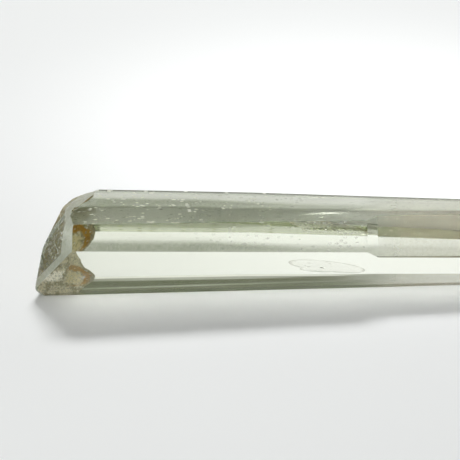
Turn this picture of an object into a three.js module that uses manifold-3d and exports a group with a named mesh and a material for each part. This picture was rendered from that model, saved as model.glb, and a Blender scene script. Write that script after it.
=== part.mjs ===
// A single crystal of chlorite quartz lying on one of its prism faces: a long six-sided prism that
// tapers from a broken base to a pyramid-shaped tip, with growth steps, edge chips and a rough break.
// Millimetres, +Z up. X runs along the crystal from its base to its tip, and Z is 0 on the resting face.
import * as THREE from "three";
import { ImprovedNoise } from "three/addons/math/ImprovedNoise.js";
import { mergeVertices } from "three/addons/utils/BufferGeometryUtils.js";
import Module from "manifold-3d";

// Lengths along the crystal are from the base station, where the prism's widths are given.
const TIP_X = 92.5;
const AXIS_Z = 6.2; // height of the crystal's axis over its resting face

// The six prism faces, 60 degrees apart to within a degree or so: the direction each one looks, its
// distance from the axis at the base station, and how fast it closes in on the axis towards the
// tip. One face closes in faster past a bend.
const PRISM_FACES = {
  top: { degrees: 90, distance: 6.96, taper: 0.0314 },
  frontUpper: { degrees: 150, distance: 9.43, taper: 0.0583 },
  frontLower: { degrees: 210, distance: 5.45, taper: 0.0102 },
  resting: { degrees: 270, distance: AXIS_Z, taper: 0 },
  backLower: { degrees: 328.8, distance: 9.39, taper: 0.0223 },
  backUpper: { degrees: 30.6, distance: 6.35, taper: 0.0331, bend: { x: 26, taper: 0.0562 } },
};

// Growth steps: where a face drops closer to the axis, and by how much. Each riser has the slope of
// the tip's pyramid faces.
const GROWTH_STEPS = [
  { face: "frontUpper", x: 42.4, drop: 1.12 },
  { face: "backLower", x: 63.0, drop: 0.7 },
  { face: "top", x: 71.5, drop: 0.45 },
  { face: "frontLower", x: 80.0, drop: 0.4 },
];

// The tip's pyramid: quartz's rhombohedral faces lean 38.2 degrees from the prism axis. Three are
// large and three are small, as on most natural points.
const PYRAMID_LEAN = THREE.MathUtils.degToRad(38.2);
const TIP_AXIS = { y: 0.1, z: 5.0 };
const PYRAMID_SETBACK = {
  top: 0,
  frontUpper: 0.75,
  frontLower: 0.15,
  resting: 0.95,
  backLower: 0.35,
  backUpper: 1.05,
};

// Shallow shell-shaped chips in the faces. Each one's middle is at x along the crystal and at side
// across the face, from the face's middle line; turn is in degrees in the plane of the face.
const CHIPS = [
  { face: "backUpper", x: 36.1, side: -5.0, length: 11.2, width: 2.9, depth: 0.14, turn: -13 },
  { face: "backUpper", x: 36.0, side: -5.8, length: 7.4, width: 1.7, depth: 0.17, turn: -3 },
  { face: "top", x: 28.4, side: -2.95, length: 1.5, width: 0.7, depth: 0.16, turn: 4 },
  { face: "frontLower", x: 57.6, side: -4.3, length: 3.1, width: 1.3, depth: 0.3, turn: 8 },
];
// How far out from the face a chip's ball is centred, as a share of the ball's radius.
const CHIP_STANDOFF = 0.7;

// The broken base. Each plane gives the break's x over the section as
// x = at + slopeY * y + slopeZ * (z - topZ), and the largest of them is where the rock starts.
// The front and back planes meet in a rounded ridge.
const BREAK_TOP_Z = 13.1;
const BREAK_PLANES = {
  frontBevel: { at: -1.34, slopeY: -0.538, slopeZ: 0.355 },
  backSlope: { at: -0.72, slopeY: 0.55, slopeZ: 0.1 },
  topLip: { at: 2.1, slopeY: 0, slopeZ: 0.75 },
  toe: { at: -14.14, slopeY: 0, slopeZ: -0.9 },
  topSpall: { at: 3.5, slopeY: 0.56, slopeZ: 2.0 },
};
// A hollow low in the back of the break, where iron has stained the rock.
const HOLLOW = { y: 8.0, z: 3.0, radius: 2.7, depth: 0.8 };
const RIDGE_ROUND = 0.8;
const BREAK_GRID = { cell: 0.34, halfWidth: 11.5, height: 14.4, depth: 30 };
const BREAK_RELIEF = { broad: 0.45, broadSize: 3.8, fine: 0.28, fineSize: 1.1 };
const LEDGE = { fromY: -1.9, fromZ: 12.2, step: 0.4 };
// The rim along the two front faces broke smooth, and so did the ridge. The relief grows away from
// both, with the depth under the faces and with how far the two planes have parted.
const SMOOTH_RIM = { start: 0.8, end: 2.2 };
const SMOOTH_RIDGE = { start: 0.9, end: 2.4 };

const wasm = await Module();
wasm.setup();
const noise = new ImprovedNoise();

// A closed three.js geometry as a solid that can be joined and cut.
function solidOf(geometry) {
  const bare = geometry.clone();
  bare.deleteAttribute("normal");
  bare.deleteAttribute("uv");
  const merged = mergeVertices(bare, 1e-4);
  return new wasm.Manifold(
    new wasm.Mesh({
      numProp: 3,
      vertProperties: merged.attributes.position.array,
      triVerts: new Uint32Array(merged.index.array),
    }),
  );
}

// The part of a solid on the inner side of the plane normal . p = offset.
function keepInside(solid, normal, offset) {
  return solid.trimByPlane([-normal.x, -normal.y, -normal.z], -offset);
}

function outwards(face) {
  const angle = THREE.MathUtils.degToRad(face.degrees);
  return new THREE.Vector3(0, Math.cos(angle), Math.sin(angle));
}

// A prism face as a plane that leans in by its taper, moved inwards by drop.
function prismPlane(face, drop = 0, taper = face.taper, from = 0) {
  const across = outwards(face);
  const normal = new THREE.Vector3(taper, across.y, across.z);
  const length = normal.length();
  const reach = face.distance - drop + (taper - face.taper) * from;
  return { normal: normal.divideScalar(length), offset: (reach + AXIS_Z * across.z) / length };
}

// The plane that a prism face lies in at one place along the crystal.
function facePlaneAt(face, x) {
  return face.bend && x > face.bend.x ? prismPlane(face, 0, face.bend.taper, face.bend.x) : prismPlane(face);
}

// A plane with the pyramid's lean over a prism face, through one point.
function leaningPlane(face, point) {
  const normal = outwards(face).multiplyScalar(Math.cos(PYRAMID_LEAN));
  normal.x = Math.sin(PYRAMID_LEAN);
  return { normal, offset: normal.dot(point) };
}

function blank() {
  const box = new THREE.BoxGeometry(140, 60, 60);
  box.translate(50, 0, 0);
  return solidOf(box);
}

// All the rock that one prism face and its growth steps leave.
function insideFace(name) {
  const face = PRISM_FACES[name];
  const plane = prismPlane(face);
  let kept = keepInside(blank(), plane.normal, plane.offset);
  if (face.bend) {
    const bent = prismPlane(face, 0, face.bend.taper, face.bend.x);
    kept = keepInside(kept, bent.normal, bent.offset);
  }
  for (const step of GROWTH_STEPS.filter((s) => s.face === name)) {
    const lower = prismPlane(face, step.drop);
    const beyond = keepInside(blank(), lower.normal, lower.offset);
    const across = outwards(face);
    const reach = face.distance - step.drop - face.taper * step.x;
    const foot = new THREE.Vector3(step.x, 0, AXIS_Z).addScaledVector(across, reach);
    const riser = leaningPlane(face, foot);
    kept = keepInside(kept, riser.normal, riser.offset).add(beyond);
  }
  return kept;
}

function prism() {
  let solid = blank();
  for (const name of Object.keys(PRISM_FACES)) {
    solid = solid.intersect(insideFace(name));
  }
  return solid;
}

function cutPyramid(solid) {
  const apex = new THREE.Vector3(TIP_X, TIP_AXIS.y, TIP_AXIS.z);
  for (const [name, setback] of Object.entries(PYRAMID_SETBACK)) {
    const plane = leaningPlane(PRISM_FACES[name], apex);
    solid = keepInside(solid, plane.normal, plane.offset - setback);
  }
  return solid;
}

function cutChips(solid) {
  const spread = Math.sqrt(1 - CHIP_STANDOFF ** 2);
  for (const chip of CHIPS) {
    const face = PRISM_FACES[chip.face];
    const plane = facePlaneAt(face, chip.x);
    const out = plane.normal;
    const along = new THREE.Vector3(1, 0, 0).projectOnPlane(out).normalize();
    const side = along.clone().cross(out);
    const radius = chip.depth / (1 - CHIP_STANDOFF);
    const scoop = new THREE.SphereGeometry(1, 36, 24);
    scoop.scale(chip.length / 2 / spread, radius, chip.width / 2 / spread);
    scoop.rotateY(THREE.MathUtils.degToRad(-chip.turn));
    scoop.applyMatrix4(new THREE.Matrix4().makeBasis(along, out, side));
    const middle = new THREE.Vector3(chip.x, 0, AXIS_Z).addScaledVector(side, chip.side);
    const rise = plane.offset - out.dot(middle) + CHIP_STANDOFF * radius;
    middle.addScaledVector(out, rise);
    scoop.translate(middle.x, middle.y, middle.z);
    solid = solid.subtract(solidOf(scoop));
  }
  return solid;
}

// How far a point of the base section lies inside one prism face.
function depthUnder(face, y, z) {
  const across = outwards(face);
  return face.distance - (across.y * y + across.z * (z - AXIS_Z));
}

// The larger of two lengths, rounded off where they are nearly equal.
function roundedMax(a, b, round) {
  const near = Math.max(0, 1 - Math.abs(a - b) / round);
  return Math.max(a, b) + (near * near * round) / 4;
}

function breakPlaneX(plane, y, z) {
  return plane.at + plane.slopeY * y + plane.slopeZ * (z - BREAK_TOP_Z);
}

// How far along X the break lies at one point of the section.
function breakX(y, z) {
  const front = breakPlaneX(BREAK_PLANES.frontBevel, y, z);
  const back = breakPlaneX(BREAK_PLANES.backSlope, y, z);
  const lip = breakPlaneX(BREAK_PLANES.topLip, y, z);
  const toe = breakPlaneX(BREAK_PLANES.toe, y, z);
  const spall = breakPlaneX(BREAK_PLANES.topSpall, y, z);
  const { broad, broadSize, fine, fineSize } = BREAK_RELIEF;
  const waves = broad * noise.noise(y / broadSize, z / broadSize, 4.7);
  const grit = fine * Math.abs(noise.noise(y / fineSize, z / fineSize, 9.2));
  const { frontUpper, frontLower } = PRISM_FACES;
  const depth = Math.min(depthUnder(frontUpper, y, z), depthUnder(frontLower, y, z));
  const inside = THREE.MathUtils.smoothstep(depth, SMOOTH_RIM.start, SMOOTH_RIM.end);
  const off = THREE.MathUtils.smoothstep(Math.abs(front - back), SMOOTH_RIDGE.start, SMOOTH_RIDGE.end);
  const onLedge = y > LEDGE.fromY && z > LEDGE.fromZ;
  const ridge = roundedMax(front, back, RIDGE_ROUND);
  const smooth = Math.max(roundedMax(roundedMax(ridge, lip, RIDGE_ROUND), toe, RIDGE_ROUND), spall);
  const fromHollow = Math.hypot(y - HOLLOW.y, z - HOLLOW.z) / HOLLOW.radius;
  const hollow = HOLLOW.depth * (1 - THREE.MathUtils.smoothstep(fromHollow, 0.2, 1));
  return smooth + hollow + inside * off * (waves + grit) + (onLedge ? LEDGE.step : 0);
}

// Everything beyond the break: a block whose inner side is the break's rough surface.
function breakBlock() {
  const { cell, halfWidth, height, depth } = BREAK_GRID;
  const columns = Math.round((2 * halfWidth) / cell);
  const rows = Math.round(height / cell);
  const rough = new THREE.BoxGeometry(depth, 2 * halfWidth, height, 1, columns, rows);
  rough.translate(-depth / 2, 0, height / 2 - 0.5);
  const position = rough.attributes.position;
  for (let i = 0; i < position.count; i++) {
    const [x, y, z] = [position.getX(i), position.getY(i), position.getZ(i)];
    position.setX(i, x > -depth / 2 ? breakX(y, z) : -depth);
  }
  return solidOf(rough);
}

// A solid as a three.js geometry, standing on Z = 0 with its middle over the origin.
function geometryOf(solid) {
  const { vertProperties, triVerts, numProp } = solid.getMesh();
  const geometry = new THREE.BufferGeometry();
  geometry.setAttribute("position", new THREE.BufferAttribute(vertProperties, numProp));
  geometry.setIndex(new THREE.BufferAttribute(triVerts, 1));
  geometry.computeBoundingBox();
  const { min, max } = geometry.boundingBox;
  geometry.translate(-(min.x + max.x) / 2, -(min.y + max.y) / 2, -min.z);
  geometry.computeVertexNormals();
  return geometry;
}

const quartz = new THREE.MeshStandardMaterial({
  name: "quartz",
  color: 0xdfe3d0,
  roughness: 0.05,
  metalness: 0,
  transparent: true,
  opacity: 0.4,
});

const rock = cutChips(cutPyramid(prism())).subtract(breakBlock());
const crystal = new THREE.Mesh(geometryOf(rock), quartz);
crystal.name = "quartz_crystal";

const group = new THREE.Group();
group.add(crystal);

export default group;
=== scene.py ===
"""Looks for a chlorite quartz crystal: clear pale green quartz with a rough, iron-stained base."""
import bpy
import bmesh
import math
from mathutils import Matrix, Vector, noise


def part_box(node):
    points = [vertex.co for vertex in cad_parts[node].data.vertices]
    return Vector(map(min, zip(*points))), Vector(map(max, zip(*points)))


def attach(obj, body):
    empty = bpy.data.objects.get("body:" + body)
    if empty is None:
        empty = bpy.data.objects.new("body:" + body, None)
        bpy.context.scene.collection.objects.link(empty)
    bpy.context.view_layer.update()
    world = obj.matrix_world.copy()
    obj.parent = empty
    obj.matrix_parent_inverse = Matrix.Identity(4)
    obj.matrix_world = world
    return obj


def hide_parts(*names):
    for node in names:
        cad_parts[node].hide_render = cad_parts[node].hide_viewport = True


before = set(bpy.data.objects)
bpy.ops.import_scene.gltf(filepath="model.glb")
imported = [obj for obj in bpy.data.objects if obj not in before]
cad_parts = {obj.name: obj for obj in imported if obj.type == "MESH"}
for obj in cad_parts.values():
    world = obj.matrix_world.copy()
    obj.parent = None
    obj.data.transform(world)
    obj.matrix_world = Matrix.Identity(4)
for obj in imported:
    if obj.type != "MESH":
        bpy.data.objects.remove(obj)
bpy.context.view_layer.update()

MM = 0.001
NODE = "quartz_crystal"
scene = bpy.context.scene
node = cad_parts[NODE]

# The crystal's own frame: its base station and its axis, measured from the CAD box. Sizes and
# places below are in millimetres in it, unless they say otherwise: x runs from the base station to
# the tip, y to the back and z up.
BASE_TO_TIP = 91.018 * MM
FRONT_TO_AXIS = 8.505 * MM
low, high = (Vector(corner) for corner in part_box(NODE))
STATION = Vector((high.x - BASE_TO_TIP, low.y + FRONT_TO_AXIS, 0.0))


def place(x, y, z):
    """A point given in the crystal's own frame, as Blender has it."""
    return STATION + Vector((x, y, z)) * MM


def local(point):
    """A Blender point in the crystal's own frame."""
    return (point - STATION) / MM


def direction(azimuth, elevation):
    """The unit vector towards a place in the sky; azimuth 0 is behind the crystal, +Y."""
    azimuth, elevation = math.radians(azimuth), math.radians(elevation)
    flat = math.cos(elevation)
    return Vector((math.sin(azimuth) * flat, math.cos(azimuth) * flat, math.sin(elevation)))


# ---------------------------------------------------------------- camera
CAMERA_AIM = (22.97, 0.0, 8.12)
CAMERA_DISTANCE = 220 * MM
CAMERA_AZIMUTH = -2.19
CAMERA_ELEVATION = 28.9
PIXELS_PER_MM = 7.4  # at the aim point
PICTURE_WIDTH = 460
SENSOR_WIDTH = 36.0
CLIP_START = 5 * MM


def make_camera():
    data = bpy.data.cameras.new("camera")
    camera = bpy.data.objects.new("camera", data)
    scene.collection.objects.link(camera)
    back = direction(180 - CAMERA_AZIMUTH, CAMERA_ELEVATION)
    camera.location = place(*CAMERA_AIM) + back * CAMERA_DISTANCE
    camera.rotation_euler = (-back).to_track_quat("-Z", "Y").to_euler()
    data.sensor_width = SENSOR_WIDTH
    data.lens = SENSOR_WIDTH * PIXELS_PER_MM * (CAMERA_DISTANCE / MM) / PICTURE_WIDTH
    data.clip_start = CLIP_START
    scene.camera = camera


# ---------------------------------------------------------------- light
# name, azimuth, elevation, distance in metres, width and height in metres, strength in watts
LAMPS = [
    ("back_key", 8, 61.5, 0.36, 0.14, 0.070, 0.84),
    ("front_key", 205, 57, 0.30, 0.05, 0.042, 0.20),
]
# A soft pool of light on the floor behind the crystal, which comes over the crystal from the front.
# It is a spot lamp, squashed to an oval: its distance, half-width and bulb are in metres.
POOL_AT = (47.0, 45.0)
POOL_FROM = (190, 56)
POOL_DISTANCE = 0.45
POOL_HALF_WIDTH = 0.058
POOL_BULB = 0.025
POOL_SQUASH = 0.64
POOL_WATTS = 4.8


def add_lamp(name, kind, watts, aim, outwards, distance):
    """Hangs a lamp at a distance from a point, facing it."""
    data = bpy.data.lights.new(name, kind)
    data.energy = watts
    lamp = bpy.data.objects.new(name, data)
    scene.collection.objects.link(lamp)
    lamp.location = aim + outwards * distance
    lamp.rotation_euler = outwards.to_track_quat("Z", "Y").to_euler()
    return lamp


def make_lamps():
    for name, azimuth, elevation, distance, width, height, watts in LAMPS:
        outwards = direction(azimuth, elevation)
        lamp = add_lamp(name, "AREA", watts, place(*CAMERA_AIM), outwards, distance)
        lamp.data.shape = "RECTANGLE"
        lamp.data.size, lamp.data.size_y = width, height
    pool = add_lamp("floor_pool", "SPOT", POOL_WATTS, place(*POOL_AT, 0.0), direction(*POOL_FROM),
                    POOL_DISTANCE)
    pool.data.spot_size = 2 * math.atan(POOL_HALF_WIDTH / POOL_DISTANCE)
    pool.data.spot_blend = 1.0
    pool.data.shadow_soft_size = POOL_BULB
    pool.scale.y = POOL_SQUASH


# The room: a dim glow all round, and patches of the sky that glow in a colour of their own. Each one
# is given by azimuth, elevation, half-width and soft edge in degrees, and its colour. A later patch
# covers an earlier one, and the last is everything up to 12 degrees over the horizon.
ROOM_GLOW = (0.06, 0.063, 0.06)
ROOM_PATCHES = [
    (180, 30, 30, 14, (0.16, 0.16, 0.16)),
    (-30, 20, 34, 5, (0.10, 0.11, 0.05)),
    (38, 13, 28, 6, (0.70, 0.71, 0.68)),
    (-80, 80, 14, 8, (0.86, 0.87, 0.90)),
    (0, -90, 102.0, 0.9, (0.86, 0.87, 0.83)),
]


def make_room():
    world = bpy.data.worlds.new("room")
    scene.world = world
    world.use_nodes = True
    tree = world.node_tree
    background = tree.nodes["Background"]
    sky = tree.nodes.new("ShaderNodeTexCoord").outputs["Generated"]
    glow = None
    for azimuth, elevation, half, soft, colour in ROOM_PATCHES:
        facing = tree.nodes.new("ShaderNodeVectorMath")
        facing.operation = "DOT_PRODUCT"
        tree.links.new(sky, facing.inputs[0])
        facing.inputs[1].default_value = direction(azimuth, elevation)
        edge = tree.nodes.new("ShaderNodeMapRange")
        edge.interpolation_type = "SMOOTHSTEP"
        tree.links.new(facing.outputs["Value"], edge.inputs["Value"])
        edge.inputs["From Min"].default_value = math.cos(math.radians(half + soft))
        edge.inputs["From Max"].default_value = math.cos(math.radians(half))
        mix = tree.nodes.new("ShaderNodeMix")
        mix.data_type = "RGBA"
        tree.links.new(edge.outputs["Result"], mix.inputs["Factor"])
        if glow is None:
            mix.inputs["A"].default_value = (*ROOM_GLOW, 1)
        else:
            tree.links.new(glow, mix.inputs["A"])
        mix.inputs["B"].default_value = (*colour, 1)
        glow = mix.outputs["Result"]
    tree.links.new(glow, background.inputs["Color"])


# ---------------------------------------------------------------- materials
IOR_QUARTZ = 1.544
ABSORPTION = (0.775, 0.85, 0.435, 1)
ABSORPTION_DENSITY = 18.0
# Noises that make the mineral films uneven. The scale is in features per metre, and the values
# between the levels are spread over the results. A stretch under 1 draws the noise out that way.
MOTTLE = {"scale": 700.0, "detail": 3.0, "levels": (0.35, 0.65), "results": (0.70, 1.25),
          "stretch": (0.16, 1.0, 1.0)}
GRAIN = {"scale": 2600.0, "detail": 4.0, "levels": (0.36, 0.60), "results": (0.55, 1.25)}
# White specks: small pits and flakes that scatter the light. They come in patches, one speck to a
# cell of the texture at most. The edges are shares of a cell.
SPECK_PATCHES = {"scale": 450.0, "detail": 2.0, "levels": (0.42, 0.50), "results": (0.0, 1.0)}
SPECK_SCALE = 1900.0
SPECK_STRETCH = (0.5, 1.0, 1.0)
SPECK_EDGES = (0.22, 0.32)
SPECK_COLOUR = (0.85, 0.86, 0.78, 1)
FLOOR_COLOUR = (0.86, 0.87, 0.87, 1)
FLOOR_ROUGHNESS = 0.8
FLOOR_SPECULAR = 0.2
FLOOR_HALF_SIZE = 1.5
FLOOR_DROP = 0.04 * MM


def shader_of(name):
    material = bpy.data.materials.new(name)
    material.use_nodes = True
    return material, material.node_tree, material.node_tree.nodes["Principled BSDF"]


def attribute(tree, name):
    attribute_node = tree.nodes.new("ShaderNodeAttribute")
    attribute_node.attribute_name = name
    return attribute_node


def in_metres(tree, stretch):
    """The place on the rock in metres, for textures that keep their real size."""
    mapping = tree.nodes.new("ShaderNodeMapping")
    mapping.inputs["Scale"].default_value = stretch
    tree.links.new(tree.nodes.new("ShaderNodeTexCoord").outputs["Object"], mapping.inputs["Vector"])
    return mapping.outputs["Vector"]


def map_range(tree, value, levels, results):
    spread = tree.nodes.new("ShaderNodeMapRange")
    tree.links.new(value, spread.inputs["Value"])
    spread.inputs["From Min"].default_value, spread.inputs["From Max"].default_value = levels
    spread.inputs["To Min"].default_value, spread.inputs["To Max"].default_value = results
    return spread.outputs["Result"]


def noise_range(tree, scale, detail, levels, results, stretch=(1.0, 1.0, 1.0)):
    texture = tree.nodes.new("ShaderNodeTexNoise")
    tree.links.new(in_metres(tree, stretch), texture.inputs["Vector"])
    texture.inputs["Scale"].default_value = scale
    texture.inputs["Detail"].default_value = detail
    return map_range(tree, texture.outputs["Fac"], levels, results)


def multiply(tree, first, second):
    product = tree.nodes.new("ShaderNodeMath")
    product.operation = "MULTIPLY"
    product.use_clamp = True
    tree.links.new(first, product.inputs[0])
    tree.links.new(second, product.inputs[1])
    return product.outputs["Value"]


def eased(tree, texture, share):
    """A texture with values round 1.0 that counts only for a share."""
    mix = tree.nodes.new("ShaderNodeMix")
    mix.inputs["A"].default_value = 1.0
    tree.links.new(share, mix.inputs["Factor"])
    tree.links.new(texture, mix.inputs["B"])
    return mix.outputs["Result"]


def film_cover(tree, film):
    """How much of the surface a mineral film covers, uneven where the crystal is gritty."""
    grit = attribute(tree, "grit").outputs["Fac"]
    cover = multiply(tree, film.outputs["Alpha"], eased(tree, noise_range(tree, **MOTTLE), grit))
    return multiply(tree, cover, eased(tree, noise_range(tree, **GRAIN), grit))


def speck_cover(tree):
    cells = tree.nodes.new("ShaderNodeTexVoronoi")
    tree.links.new(in_metres(tree, SPECK_STRETCH), cells.inputs["Vector"])
    cells.inputs["Scale"].default_value = SPECK_SCALE
    dot = map_range(tree, cells.outputs["Distance"], SPECK_EDGES, (1.0, 0.0))
    speck = multiply(tree, attribute(tree, "specks").outputs["Fac"], dot)
    return multiply(tree, speck, noise_range(tree, **SPECK_PATCHES))


def lit_film(tree, colour):
    """A thin mineral film, lit half from its own side and half through itself."""
    front = tree.nodes.new("ShaderNodeBsdfDiffuse")
    through = tree.nodes.new("ShaderNodeBsdfTranslucent")
    film = tree.nodes.new("ShaderNodeMixShader")
    tree.links.new(colour, front.inputs["Color"])
    tree.links.new(colour, through.inputs["Color"])
    tree.links.new(front.outputs["BSDF"], film.inputs[1])
    tree.links.new(through.outputs["BSDF"], film.inputs[2])
    return film.outputs["Shader"]


def quartz_material():
    """One shader for the whole crystal: clear glass, under its frost, mineral films and specks."""
    material, tree, glass = shader_of("quartz")
    output = tree.nodes["Material Output"]
    glass.inputs["Base Color"].default_value = (1, 1, 1, 1)
    glass.inputs["Transmission Weight"].default_value = 1.0
    glass.inputs["IOR"].default_value = IOR_QUARTZ
    tree.links.new(attribute(tree, "frost").outputs["Fac"], glass.inputs["Roughness"])

    film = attribute(tree, "film")
    speck = speck_cover(tree)
    cover = tree.nodes.new("ShaderNodeMath")
    cover.operation = "MAXIMUM"
    tree.links.new(film_cover(tree, film), cover.inputs[0])
    tree.links.new(speck, cover.inputs[1])
    colour = tree.nodes.new("ShaderNodeMix")
    colour.data_type = "RGBA"
    tree.links.new(speck, colour.inputs["Factor"])
    tree.links.new(film.outputs["Color"], colour.inputs["A"])
    colour.inputs["B"].default_value = SPECK_COLOUR

    coated = tree.nodes.new("ShaderNodeMixShader")
    tree.links.new(cover.outputs["Value"], coated.inputs["Fac"])
    tree.links.new(glass.outputs["BSDF"], coated.inputs[1])
    tree.links.new(lit_film(tree, colour.outputs["Result"]), coated.inputs[2])
    tree.links.new(coated.outputs["Shader"], output.inputs["Surface"])

    absorb = tree.nodes.new("ShaderNodeVolumeAbsorption")
    absorb.inputs["Color"].default_value = ABSORPTION
    absorb.inputs["Density"].default_value = ABSORPTION_DENSITY
    tree.links.new(absorb.outputs["Volume"], output.inputs["Volume"])
    return material


def make_floor():
    mesh = bpy.data.meshes.new("floor")
    floor = bpy.data.objects.new("floor", mesh)
    scene.collection.objects.link(floor)
    build = bmesh.new()
    bmesh.ops.create_grid(build, x_segments=1, y_segments=1, size=FLOOR_HALF_SIZE)
    build.to_mesh(mesh)
    build.free()
    floor.location.z = -FLOOR_DROP
    material, _, shader = shader_of("pale_floor")
    shader.inputs["Base Color"].default_value = FLOOR_COLOUR
    shader.inputs["Roughness"].default_value = FLOOR_ROUGHNESS
    shader.inputs["Specular IOR Level"].default_value = FLOOR_SPECULAR
    mesh.materials.append(material)


# ---------------------------------------------------------------- what covers the crystal
# Mineral films: colour, then how much of the surface they cover. Over 1, their grain leaves no gaps.
# Chlorite and the grey of the painted shade line are colours alone, because their cover changes over a
# face.
CLEAN = ((1.0, 1.0, 1.0), 0.0)
PALE_FROST = ((0.66, 0.68, 0.60), 0.46)
LIP_FROST = ((0.62, 0.62, 0.52), 0.62)
GREY_GREEN = ((0.27, 0.29, 0.20), 0.55)
OLIVE_SPECKLE = ((0.27, 0.24, 0.14), 0.80)
BEIGE_CLAY = ((0.60, 0.54, 0.39), 1.2)
DARK_CLAY = ((0.30, 0.26, 0.15), 1.2)
CREAM_CLAY = ((1.0, 0.95, 0.84), 1.3)
PALE_IRON = ((0.60, 0.52, 0.30), 1.2)
GOLDEN_IRON = ((0.36, 0.185, 0.018), 1.3)
CHIP_STAIN = ((0.55, 0.46, 0.36), 0.08)
CHIP_RIM = ((0.36, 0.28, 0.18), 0.42)
CHLORITE = (0.205, 0.25, 0.115)
# Painted shade: the dark grey line along the back edge of the top face.
SHADE_GREY = (0.20, 0.21, 0.17)
PALE_FILM = ((0.85, 0.82, 0.72), 0.34)
WARM_FILM = ((1.0, 0.79, 0.57), 0.19)
# The glass's roughness, under the films.
FROST = {"rim": 0.34, "ridge": 0.22, "rough": 0.12, "chip": 0.11, "none": 0.0}
# How strongly the films' grain shows: in full on the rock, and faintly in the dust on the prism.
GRIT = {"rock": 1.0, "chip": 0.7, "dust": 0.18, "none": 0.0}
# How strongly the white specks show. The values along the crystal, below, give it for the prism.
SPECKS = {"rock": 0.5, "chip": 0.3, "none": 0.0}

# The broken base. Its ridge runs between two (y, z) points. Its pale rim lies under the two front
# faces, to these depths, and its lip is what is higher than LIP_Z.
BREAK_REACH = 7.5
BREAK_LEAN = -0.25  # the least that a face of the break looks towards the base
RIDGE_TOP = (-1.2, 13.1)
RIDGE_FOOT = (-3.4, 0.0)
RIDGE_HALF = 1.0
UPPER_RIM = 1.6
LOWER_RIM = 1.2
LIP_Z = 11.6
BORDER = 0.3  # how softly the rim and the lip end
# The mottling and the speckle of the rock, in features per millimetre, and how far the two of them
# push each film's border to and fro.
ROCK_MOTTLE = 0.7
ROCK_SPECKLE = 2.2
RAGGED = {"clay": 0.7, "dark": 1.6, "cream": 0.9, "pale": 0.8, "iron": 0.4, "ridge": 0.3,
          "lip": 0.5}
# Beige and dark clay, by the mottling, with the dark one ahead at the back of the break.
CLAY_LEVELS = (-0.12, 0.22)
DARK_FROM_Y = (6.4, 7.1)
DARK_SHARE = 0.8
# A cream patch low in the middle of the break: its middle (y, z), half-length and half-height, and
# where its edge starts and ends as shares of those.
CREAM_PATCH = (1.3, 4.0, 3.2, 1.1)
CREAM_EDGE = (0.7, 1.05)
# The iron stain is half a ring at the back of the break, round a paler middle: the middle (y, z),
# the ring's radius, the distances from that radius over which it fades, and where it starts along
# y and z. Then come the radii over which the paler middle fades, and where it starts along y.
IRON_MIDDLE = (5.2, 3.3)
IRON_RADIUS = 2.3
IRON_EDGE = (0.3, 0.65)
IRON_FROM_Y = (4.1, 4.9)
IRON_FROM_Z = (1.0, 2.0)
PALE_RADIUS = (1.1, 1.9)
PALE_FROM_Y = (3.6, 4.4)
# The olive front of the break, by how far in front of the ridge it is, and the ridge's own edge.
OLIVE_EDGE = (-0.6, 0.4)
RIDGE_EDGE = (0.6, 1.2)

# Values along the crystal, each as (x, value): the green cloud on the resting face, which is partly
# chlorite and partly painted shade of the floor under the crystal, the specks on the top and front
# upper faces, and the green dust on the lower back face with its upper edge's z.
CLOUD_AND_SHADE = [(0, 0.21), (8, 0.22), (14, 0.23), (20, 0.28), (27, 0.24), (36, 0.15), (46, 0.04), (54, 0.0)]
TOP_SPECKS = [(3, 0.5), (5, 2.6), (17, 2.6), (20, 0.4), (23, 1.2), (28, 1.0), (31, 0.15), (80, 0.08)]
FRONT_SPECKS = [(3, 0.0), (20, 0.1), (24, 0.35), (34, 0.3), (38, 0.5), (43, 0.2), (46, 0.06),
                (80, 0.04)]
DUST = [(0, 0.56), (18, 0.54), (28, 0.46), (40, 0.40), (48, 0.14), (60, 0.0)]
DUST_TOP = [(0, 2.5), (20, 2.4), (32, 1.6), (48, 1.3)]
# The dust fades out over this height, up to that edge.
DUST_FADE = 0.9
# The dust thins to this share at the foot of the face.
DUST_FOOT = 0.75
DUST_FOOT_Z = (0.4, 1.1)
# Past the growth step the cloud and the dust give way to a warm and a pale film, up to the tip.
PALE_FROM_X = (41.0, 46.0)
TIP_X = 84.0
# The dark grey line along the back edge of the top face is painted shade, for the shaded floor under
# the back of the crystal that shows through there: its width, and its cover at the edge. It fades over
# a depth under the back face.
SHADE_LINE_WIDTH = 0.75
SHADE_LINE_FADE = 0.6
SHADE_LINE_COVER = 0.95


def smooth_step(value, start, end):
    share = min(max((value - start) / (end - start), 0.0), 1.0)
    return share * share * (3 - 2 * share)


def along(steps, x):
    """The value at x of a line through (x, value) points."""
    if x <= steps[0][0]:
        return steps[0][1]
    for (x0, first), (x1, second) in zip(steps, steps[1:]):
        if x <= x1:
            return first + (second - first) * (x - x0) / (x1 - x0)
    return steps[-1][1]


def blend_film(first, second, share):
    colour = [a + (b - a) * share for a, b in zip(first[0], second[0])]
    return colour, first[1] + (second[1] - first[1]) * share


def depth_under(plane, point):
    """How far a point is under a plane, which is given by its normal and offset."""
    return (plane[1] - plane[0].dot(point)) / MM


def ridge_y(z):
    share = (RIDGE_TOP[1] - z) / (RIDGE_TOP[1] - RIDGE_FOOT[1])
    return RIDGE_TOP[0] + (RIDGE_FOOT[0] - RIDGE_TOP[0]) * share


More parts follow.
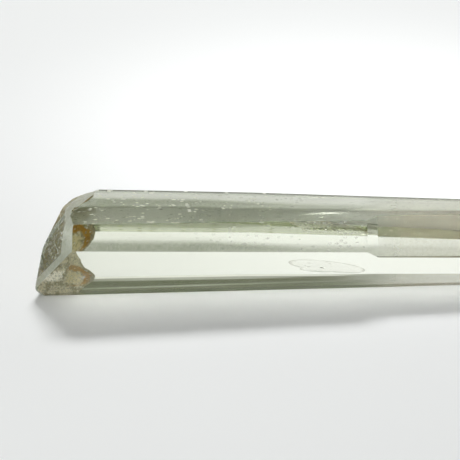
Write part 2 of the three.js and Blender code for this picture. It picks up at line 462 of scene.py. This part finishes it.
def rock_film(y, z, mottle, speckle):
    """The clay and the iron stain on the break, before its front and its rims go over them."""
    ragged = (mottle + speckle) / 2
    film = blend_film(BEIGE_CLAY, DARK_CLAY,
                      smooth_step(mottle + RAGGED["clay"] * speckle, *CLAY_LEVELS))
    dark = DARK_SHARE * smooth_step(y + RAGGED["dark"] * ragged, *DARK_FROM_Y)
    film = blend_film(film, DARK_CLAY, dark)
    y0, z0, half_y, half_z = CREAM_PATCH
    off_patch = math.hypot((y - y0) / half_y, (z - z0) / half_z) + RAGGED["cream"] * ragged
    film = blend_film(film, CREAM_CLAY, 1 - smooth_step(off_patch, *CREAM_EDGE))
    off_middle = math.dist((y, z), IRON_MIDDLE)
    pale = 1 - smooth_step(off_middle + RAGGED["pale"] * ragged, *PALE_RADIUS)
    film = blend_film(film, PALE_IRON, pale * smooth_step(y, *PALE_FROM_Y))
    iron = 1 - smooth_step(abs(off_middle - IRON_RADIUS + RAGGED["iron"] * mottle), *IRON_EDGE)
    iron *= smooth_step(y, *IRON_FROM_Y) * smooth_step(z, *IRON_FROM_Z)
    return blend_film(film, GOLDEN_IRON, iron)


def break_film(point, planes):
    """The mineral film and the frost at one point of the break."""
    _, y, z = local(point)
    mottle = noise.noise(point / MM * ROCK_MOTTLE)
    speckle = noise.noise(point / MM * ROCK_SPECKLE)
    front = ridge_y(z) - y
    film = blend_film(rock_film(y, z, mottle, speckle), OLIVE_SPECKLE, smooth_step(front, *OLIVE_EDGE))
    off_ridge = abs(front + RAGGED["ridge"] * mottle) / RIDGE_HALF
    ridge = 1 - smooth_step(off_ridge, *RIDGE_EDGE)
    film = blend_film(film, GREY_GREEN, ridge)
    under_upper = depth_under(planes["front_upper"], point)
    under_lower = depth_under(planes["front_lower"], point)
    rim = 1 - min(smooth_step(under_upper, UPPER_RIM - BORDER, UPPER_RIM),
                  smooth_step(under_lower, LOWER_RIM - BORDER, LOWER_RIM))
    film = blend_film(film, PALE_FROST, rim)
    lip_z = z + RAGGED["lip"] * (mottle + speckle) / 2
    lip = smooth_step(lip_z, LIP_Z - BORDER, LIP_Z + BORDER) * (1 - rim)
    film = blend_film(film, LIP_FROST, lip)
    frost = FROST["rough"] + (FROST["ridge"] - FROST["rough"]) * ridge
    frost += (FROST["rim"] - frost) * max(rim, lip)
    return film, frost


def dust_film(x, z):
    """The green dust on the lower back face, and the pale film past the growth step."""
    top = along(DUST_TOP, x)
    share = 1 - smooth_step(z, top - DUST_FADE, top)
    share *= 1 - (1 - DUST_FOOT) * (1 - smooth_step(z, *DUST_FOOT_Z))
    dust = (CHLORITE, along(DUST, x) * share)
    return blend_film(dust, PALE_FILM, smooth_step(x, *PALE_FROM_X))


def surface_at(face, vert, planes, broken, chips):
    """What covers one corner of a face: the film's colour and cover, the frost, the specks and how
    strongly the film's grain shows."""
    x, _, z = local(vert.co)
    if face in broken:
        return (*break_film(vert.co, planes), SPECKS["rock"], GRIT["rock"])
    if face in chips:
        rim = any(near not in chips for near in vert.link_faces)
        return CHIP_RIM if rim else CHIP_STAIN, FROST["chip"], SPECKS["chip"], GRIT["chip"]
    if face.normal.z < -ALIKE:
        # The resting face's green film: partly chlorite, partly painted shade of the floor under the
        # crystal.
        cloud_and_shade = blend_film((CHLORITE, along(CLOUD_AND_SHADE, x)), WARM_FILM, smooth_step(x, *PALE_FROM_X))
        return cloud_and_shade, FROST["none"], SPECKS["none"], GRIT["dust"]
    if face.normal.dot(planes["back_lower"][0]) > NEARLY_ALIKE and x < TIP_X:
        return dust_film(x, z), FROST["none"], SPECKS["none"], GRIT["dust"]
    if face.normal.dot(planes["top"][0]) > ALIKE:
        # A dark grey line of painted shade along the back edge of the top face.
        painted_shade = 1 - smooth_step(depth_under(back_plane(planes, x), vert.co), 0.0, SHADE_LINE_FADE)
        return (SHADE_GREY, SHADE_LINE_COVER * painted_shade), FROST["none"], along(TOP_SPECKS, x), GRIT["dust"]
    if face.normal.dot(planes["front_upper"][0]) > ALIKE:
        return CLEAN, FROST["none"], along(FRONT_SPECKS, x), GRIT["none"]
    return CLEAN, FROST["none"], SPECKS["none"], GRIT["none"]


# ---------------------------------------------------------------- crystal
# The directions that the prism's faces look in over its section, in degrees from the back, 0, to
# the top, 90. Then come the cosines of how nearly two faces have to look the same way, for each use.
FACE_DEGREES = {"top": 90, "front_upper": 150, "front_lower": 210, "back_lower": 328.8}
BACK_UPPER_DEGREES = 30.6
BEND_X = 26.0  # where the upper back face has its bend
ROUGHLY_ALIKE = 0.9
NEARLY_ALIKE = 0.98
FACE_ALIKE = 0.99
ALIKE = 0.999
SAME_PLANE = 0.9999
ON_PLANE = 1e-3  # how near a plane a face lies that counts as in it
WELD = 1e-7  # in metres
CUT_TOLERANCE = 1e-8  # in metres
# Where the long faces are cut across, so that their films can change along the crystal.
SLICES = range(8, 80, 3)
# The fine relief on the break: its height and the size of its waves, then how fast the finer waves
# weaken, how many times finer each one is, and how many there are. On the rim less of it is left.
RELIEF_HEIGHT = 0.07
RELIEF_SIZE = 0.55
RELIEF_WAVES = (1.0, 2.0, 3)
RIM_RELIEF = 0.15
# The shell-shaped chips: how deep they lie under their face, how far along they go, and how much of
# their depth is kept.
CHIP_DEPTHS = (0.004, 0.6)
CHIP_REACH = 62.0
CHIP_KEPT = {"top": 0.45, "front_lower": 0.45, "back_upper": 0.24}
# Growth lines along the lower back face. At steps below its upper edge the face lies this deep, and
# under 0 it stands out. A thin line that rises along the face is given by its height at the base
# station, its slope, its half-width and depth, and how far above it the depth fades out. All of it
# fades out down to the face's foot, from FOOT_Z, and along the crystal, over LINES_END.
EDGE_STEPS = [(0.0, 0.0), (0.53, -0.0102), (1.0, -0.0150), (1.23, -0.0172)]
THIN_LINE = {"z": 0.51, "slope": 0.013, "half": 0.17, "depth": 0.003, "fade": 0.9}
FOOT_Z = 0.2
LINES_END = (37.0, 50.0)


def middle_x(face):
    return local(face.calc_center_median()).x


def largest_plane(build, degrees, side=0):
    """The prism face that looks in this direction over the section: its normal and offset. With a
    side, only the part before (-1) or past (1) the bend."""
    facing = Vector((0, math.cos(math.radians(degrees)), math.sin(math.radians(degrees))))
    faces = [f for f in build.faces
             if f.normal.dot(facing) > FACE_ALIKE and side * (middle_x(f) - BEND_X) >= 0]
    face = max(faces, key=lambda f: f.calc_area())
    return face.normal.copy(), face.normal.dot(face.verts[0].co)


def find_planes(build):
    planes = {name: largest_plane(build, degrees) for name, degrees in FACE_DEGREES.items()}
    planes["back_upper"] = largest_plane(build, BACK_UPPER_DEGREES, -1)
    planes["back_bent"] = largest_plane(build, BACK_UPPER_DEGREES, 1)
    return planes


def back_plane(planes, x):
    """The upper back face, before or past its bend."""
    return planes["back_upper"] if x < BEND_X else planes["back_bent"]


def chipped_planes(planes, x):
    """The faces that have chips in them, by name, as they are at x."""
    return {"top": planes["top"], "front_lower": planes["front_lower"],
            "back_upper": back_plane(planes, x)}


def across_share(first, second):
    """How far under one plane a step of 1 along the other takes a point."""
    return math.sqrt(1 - first[0].dot(second[0]) ** 2)


def is_break(face):
    return face.normal.x < BREAK_LEAN and middle_x(face) < BREAK_REACH


def is_inside(part, faces):
    """Whether all the faces round an edge or a vertex are among these."""
    return all(f in faces for f in part.link_faces)


def bisect(build, faces, point, normal):
    """Cuts these faces along a plane."""
    edges = dict.fromkeys(e for f in faces for e in f.edges)
    verts = dict.fromkeys(v for f in faces for v in f.verts)
    bmesh.ops.bisect_plane(build, geom=[*verts, *edges, *faces], plane_co=point, plane_no=normal,
                           dist=CUT_TOLERANCE)


def roughen_break(build, planes):
    """Cuts the broken base's faces finer and raises a small relief on them, edges left in place."""
    broken = {f for f in build.faces if is_break(f)}
    inner = [e for e in build.edges if len(e.link_faces) == 2 and is_inside(e, broken)]
    bmesh.ops.subdivide_edges(build, edges=inner, cuts=1, use_grid_fill=True)
    bmesh.ops.triangulate(build, faces=[f for f in build.faces if len(f.verts) > 4])
    broken = {f for f in build.faces if is_break(f)}
    for vert in build.verts:
        if vert.link_faces and is_inside(vert, broken):
            _, frost = break_film(vert.co, planes)
            rise = noise.fractal(vert.co / MM / RELIEF_SIZE, *RELIEF_WAVES)
            rough = smooth_step(frost, FROST["rim"], FROST["rough"])
            vert.co.x += rise * RELIEF_HEIGHT * MM * (RIM_RELIEF + (1 - RIM_RELIEF) * rough)


def slice_along(build):
    for x in SLICES:
        bisect(build, [f for f in build.faces if not is_break(f)], place(x, 0, 0), Vector((1, 0, 0)))


def line_depth(point, planes):
    """How deep the growth lines put one point of the lower back face."""
    x, _, z = local(point)
    edge = back_plane(planes, x)
    below_edge = depth_under(edge, point) / across_share(edge, planes["back_lower"])
    depth = along(EDGE_STEPS, below_edge)
    over = z - THIN_LINE["z"] - THIN_LINE["slope"] * x
    half, fade = THIN_LINE["half"], THIN_LINE["fade"]
    if over > half:
        depth += THIN_LINE["depth"] * max(0.0, 1 - (over - half) / fade)
    else:
        depth += THIN_LINE["depth"] * max(0.0, (over + half) / (2 * half))
    return depth * min(1.0, z / FOOT_Z) * (1 - smooth_step(x, *LINES_END))


def carve_growth_lines(build, planes):
    """Lays the fine growth lines into the lower back face, which is seen through the front ones."""
    plane = planes["back_lower"]
    normal = plane[0]

    def lower_back(side=0):
        return [f for f in build.faces if f.normal.dot(normal) > SAME_PLANE
                and abs(depth_under(plane, f.calc_center_median())) < ON_PLANE
                and side * (middle_x(f) - BEND_X) >= 0]

    bisect(build, lower_back(), place(BEND_X, 0, 0), Vector((1, 0, 0)))
    for name, side in (("back_upper", -1), ("back_bent", 1)):
        edge_normal, offset = planes[name]
        for down, _ in EDGE_STEPS[1:]:
            depth = down * across_share(planes[name], plane) * MM
            bisect(build, lower_back(side), edge_normal * (offset - depth), edge_normal)
    bisect(build, lower_back(), place(0, 0, FOOT_Z), Vector((0, 0, 1)))
    rising = Vector((-THIN_LINE["slope"], 0, 1)).normalized()
    half, fade = THIN_LINE["half"], THIN_LINE["fade"]
    for rise in (-half, half, half + fade):
        bisect(build, lower_back(), place(0, 0, THIN_LINE["z"] + rise), rising)
    faces = lower_back()
    for vert in dict.fromkeys(v for f in faces for v in f.verts):
        vert.co -= normal * line_depth(vert.co, planes) * MM
    bmesh.ops.triangulate(build, faces=[f for f in faces if len(f.verts) > 3])


def mark_shade_line(build, planes):
    """Cuts the top face along the inner side of the painted shade line at its back edge."""
    top = planes["top"]
    for name, side in (("back_upper", -1), ("back_bent", 1)):
        normal, offset = planes[name]
        faces = [f for f in build.faces if f.normal.dot(top[0]) > ALIKE
                 and side * (middle_x(f) - BEND_X) >= 0]
        depth = SHADE_LINE_WIDTH * across_share(planes[name], top) * MM
        bisect(build, faces, normal * (offset - depth), normal)


def chip_faces(build, planes):
    """The faces of the shell-shaped chips: a little under a prism face, and nearly along it."""
    chips = set()
    for face in build.faces:
        middle = face.calc_center_median()
        x = local(middle).x
        if not BREAK_REACH < x < CHIP_REACH:
            continue
        for plane in chipped_planes(planes, x).values():
            near = face.normal.dot(plane[0]) > ROUGHLY_ALIKE
            if near and CHIP_DEPTHS[0] < depth_under(plane, middle) < CHIP_DEPTHS[1]:
                chips.add(face)
    return chips


def ease_chips(build, chips, planes):
    """Brings the chips' surfaces nearer to the faces they are in, so that they glint less."""
    for vert in build.verts:
        if vert.link_faces and is_inside(vert, chips):
            near = chipped_planes(planes, local(vert.co).x)
            facing = vert.link_faces[0].normal
            name = max(near, key=lambda key: facing.dot(near[key][0]))
            vert.co += near[name][0] * depth_under(near[name], vert.co) * (1 - CHIP_KEPT[name]) * MM


def paint(build, planes, broken, chips):
    """Writes what covers each corner into the mesh, for the quartz shader to read."""
    layers = [build.loops.layers.float_color.new(name) for name in ("film", "frost", "specks", "grit")]
    for face in build.faces:
        for loop in face.loops:
            (colour, cover), *levels = surface_at(face, loop.vert, planes, broken, chips)
            loop[layers[0]] = (*colour, cover)
            for layer, level in zip(layers[1:], levels):
                loop[layer] = (level, level, level, 1)


def make_crystal():
    mesh = node.data.copy()
    crystal = bpy.data.objects.new("crystal", mesh)
    scene.collection.objects.link(crystal)
    crystal.matrix_world = node.matrix_world.copy()
    mesh.materials.clear()
    mesh.materials.append(quartz_material())
    build = bmesh.new()
    build.from_mesh(mesh)
    bmesh.ops.remove_doubles(build, verts=build.verts, dist=WELD)
    build.normal_update()
    planes = find_planes(build)
    roughen_break(build, planes)
    slice_along(build)
    carve_growth_lines(build, planes)
    mark_shade_line(build, planes)
    build.normal_update()
    broken = {f for f in build.faces if is_break(f)}
    chips = chip_faces(build, planes)
    ease_chips(build, chips, planes)
    paint(build, planes, broken, chips)
    for face in build.faces:
        face.smooth = face in broken or face in chips
    for edge in build.edges:
        edge.smooth = is_inside(edge, broken) or is_inside(edge, chips)
    build.to_mesh(mesh)
    build.free()
    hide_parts(NODE)
    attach(crystal, "root")


# Light goes to and fro many times inside the crystal before it leaves.
scene.view_settings.view_transform = "Standard"
scene.cycles.max_bounces = 24
scene.cycles.glossy_bounces = 16
scene.cycles.transmission_bounces = 20
scene.cycles.diffuse_bounces = 4
make_camera()
make_lamps()
make_room()
make_floor()
make_crystal()
